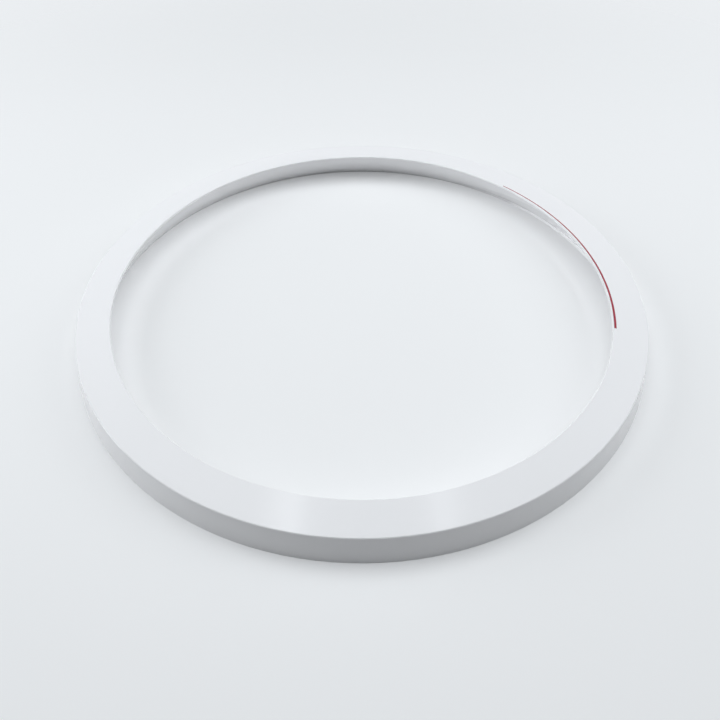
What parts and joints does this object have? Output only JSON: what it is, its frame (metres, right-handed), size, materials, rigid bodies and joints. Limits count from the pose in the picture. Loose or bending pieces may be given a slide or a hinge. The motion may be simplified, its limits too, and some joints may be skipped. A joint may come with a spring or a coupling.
{
  "type": "washing machine door frame",
  "caption": "White moulded outer ring of a front-loading washing machine door, with a leaning inner wall, a finger pocket under a grip lip with a thin red accent arc, and ribs and screw bosses in its open back.",
  "frame": {"origin": "on the ring's axis, in the plane of its foot, which is the surface it lies on", "axes": "+Z out of the face along the ring's axis, +X out through the grip with the red accent"},
  "size_m": [0.4773, 0.4774, 0.028],
  "materials": {
    "white_moulding": "glossy white moulded plastic",
    "red_accent": "deep red glossy plastic"
  },
  "bodies": {
    "root": {"door_ring": "white_moulding", "grip_accent": "red_accent"}
  },
  "joints": []
}
